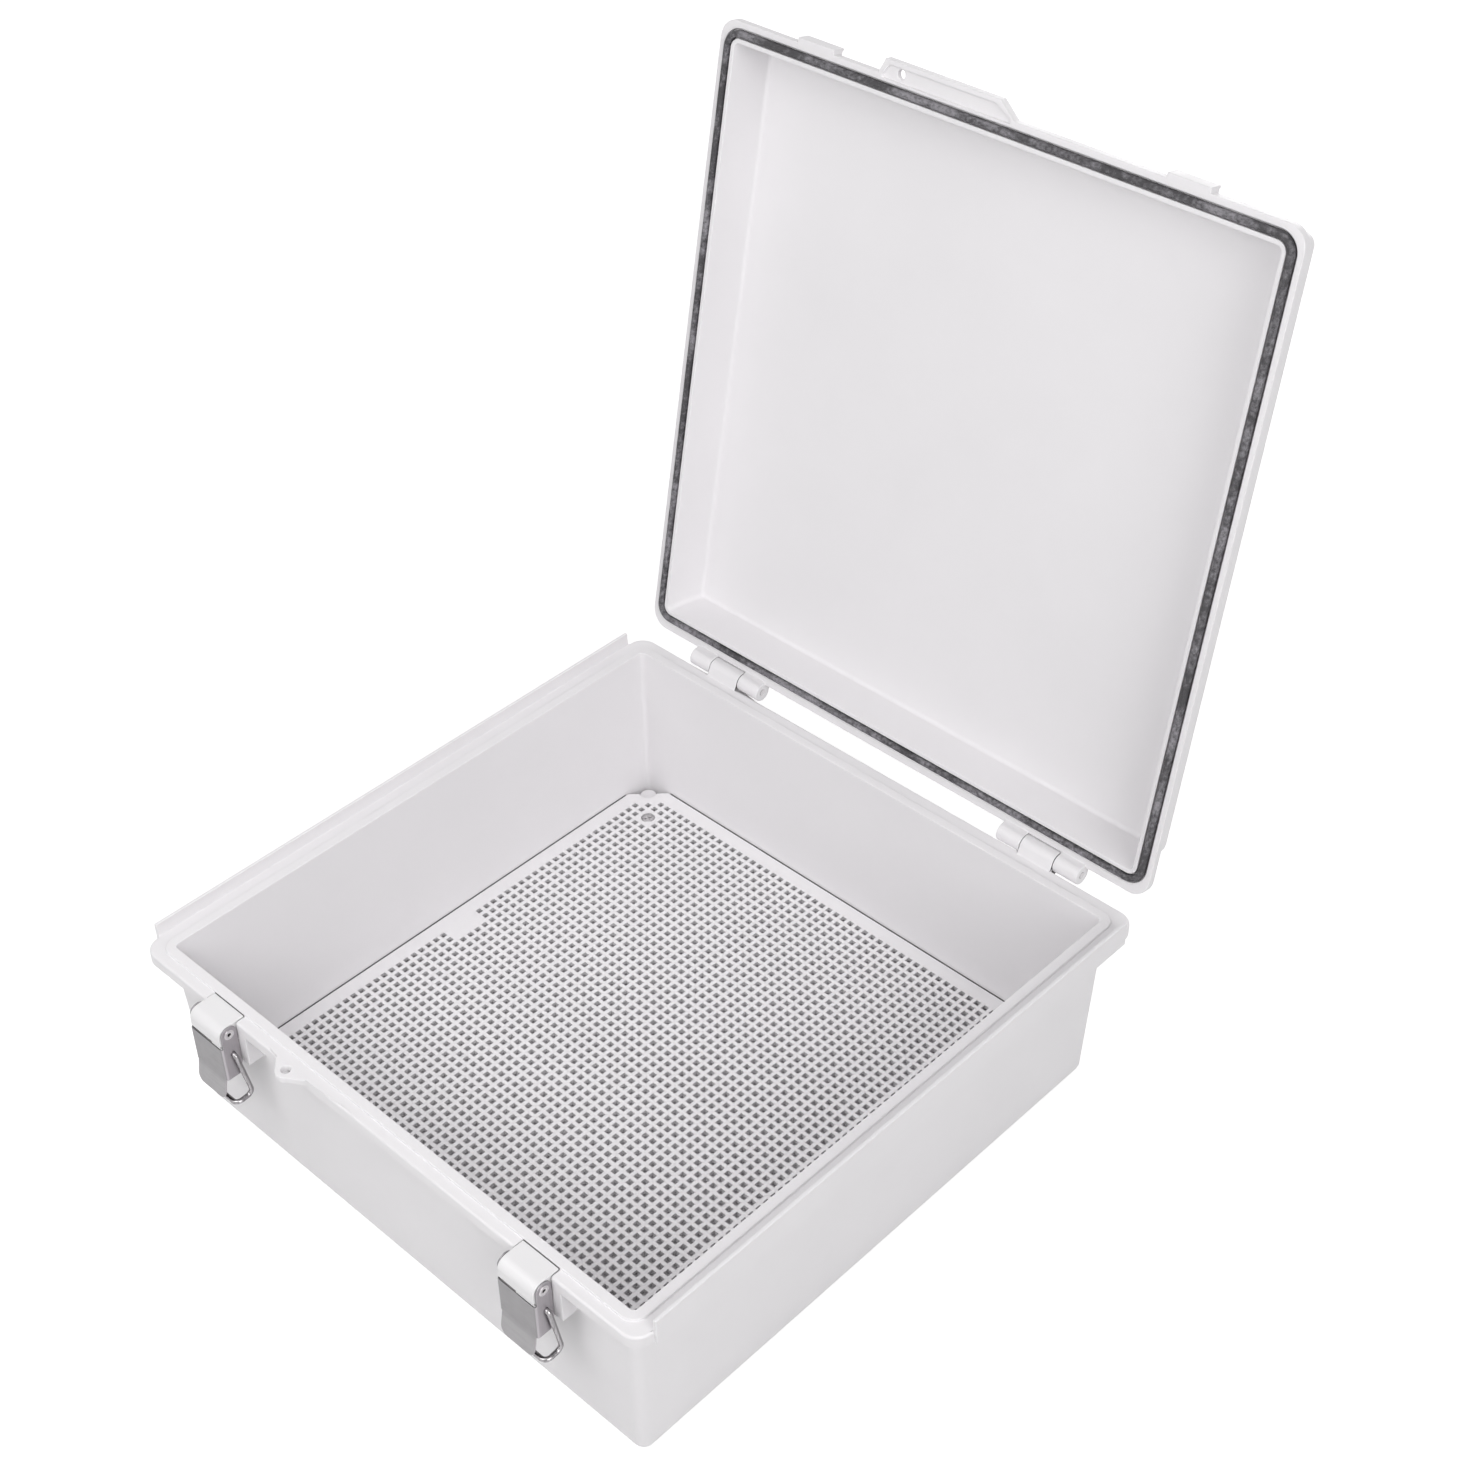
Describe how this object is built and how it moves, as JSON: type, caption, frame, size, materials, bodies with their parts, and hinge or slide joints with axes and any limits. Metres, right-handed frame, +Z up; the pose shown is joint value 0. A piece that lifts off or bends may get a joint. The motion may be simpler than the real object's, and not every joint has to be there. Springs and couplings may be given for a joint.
{
  "type": "waterproof junction box",
  "caption": "Square hinged plastic junction box with a foam-sealed lid, wire-bail draw latches and a perforated mounting plate inside.",
  "frame": {"origin": "centre of the tub's underside", "axes": "+X to the right seen from the front, -Y to the front where the latches are, +Z up out of the mouth"},
  "size_m": [0.4026, 0.5267, 0.5236],
  "materials": {
    "shell_abs": "fine moulded satin",
    "plate_abs": "moulded satin",
    "latch_plastic": "smooth moulded",
    "gasket_foam": "matt foam",
    "lever_steel": "brushed",
    "bail_wire": "polished",
    "pin_steel": "bright"
  },
  "bodies": {
    "base": {"base_shell": "shell_abs", "mounting_plate": "plate_abs", "plate_screw_front_left": "pin_steel", "plate_screw_front_right": "pin_steel", "plate_screw_back_left": "pin_steel", "plate_screw_back_right": "pin_steel", "latch_block_left": "latch_plastic", "latch_block_right": "latch_plastic"},
    "lid": {"lid_shell": "shell_abs", "lid_gasket": "gasket_foam", "hinge_pin_left": "pin_steel", "hinge_pin_right": "pin_steel"},
    "lever_left": {"latch_lever_left": "lever_steel", "latch_rivet_left": "pin_steel"},
    "lever_right": {"latch_lever_right": "lever_steel", "latch_rivet_right": "pin_steel"},
    "bail_left": {"latch_bail_left": "bail_wire"},
    "bail_right": {"latch_bail_right": "bail_wire"}
  },
  "joints": [
    {"name": "lid_hinge", "type": "hinge", "parent": "base", "child": "lid", "pos_m": [0, 0.205, 0.1201], "axis": [1, 0, 0], "range_deg": [0, 101.3]},
    {"name": "lever_left_pivot", "type": "hinge", "parent": "base", "child": "lever_left", "pos_m": [-0.126, -0.2031, 0.1123], "axis": [-1, 0, 0], "range_deg": [0, 110]},
    {"name": "lever_right_pivot", "type": "hinge", "parent": "base", "child": "lever_right", "pos_m": [0.126, -0.2031, 0.1123], "axis": [-1, 0, 0], "range_deg": [0, 110]},
    {"name": "bail_left_pivot", "type": "hinge", "parent": "lever_left", "child": "bail_left", "pos_m": [-0.126, -0.2028, 0.097], "axis": [1, 0, 0], "range_deg": [-182, 10]},
    {"name": "bail_right_pivot", "type": "hinge", "parent": "lever_right", "child": "bail_right", "pos_m": [0.126, -0.2028, 0.097], "axis": [1, 0, 0], "range_deg": [-182, 10]}
  ]
}
